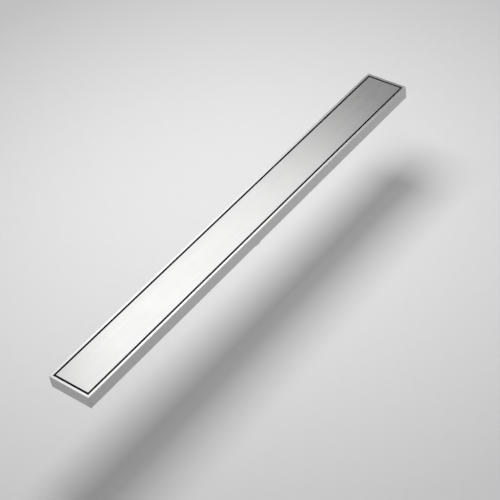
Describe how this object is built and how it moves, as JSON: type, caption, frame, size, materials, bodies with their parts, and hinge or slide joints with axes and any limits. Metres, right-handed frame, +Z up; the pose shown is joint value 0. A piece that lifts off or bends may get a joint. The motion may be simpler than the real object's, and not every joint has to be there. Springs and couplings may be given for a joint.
{
  "type": "linear shower drain",
  "caption": "Slim linear shower drain: folded steel channel, flush solid cover with a drain slot all round, bridges and rubber pads under it, a hair strainer and a round outlet below.",
  "frame": {"origin": "centre of the outlet's lower end, on the outlet's axis", "axes": "+X along the channel, +Y across it, +Z up out of the cover"},
  "size_m": [0.8, 0.076, 0.0425],
  "materials": {
    "channel_steel": "satin",
    "cover_steel": "satin, brushed along its length",
    "outlet_steel": "mill finish",
    "bridge_steel": "mill finish",
    "strainer_steel": "bright pressed sheet",
    "knob_steel": "turned",
    "pad_rubber": "moulded, matt"
  },
  "bodies": {
    "root": {"channel_body": "channel_steel", "cover_plate": "cover_steel", "outlet_spigot": "outlet_steel", "strainer_basket": "strainer_steel", "strainer_knob": "knob_steel", "end_bridge_1": "bridge_steel", "end_bridge_2": "bridge_steel", "mid_bridge_1": "bridge_steel", "mid_bridge_2": "bridge_steel", "corner_pad_1": "pad_rubber", "corner_pad_2": "pad_rubber", "corner_pad_3": "pad_rubber", "corner_pad_4": "pad_rubber", "side_pad_1": "pad_rubber", "side_pad_2": "pad_rubber", "side_pad_3": "pad_rubber", "side_pad_4": "pad_rubber"}
  },
  "joints": []
}
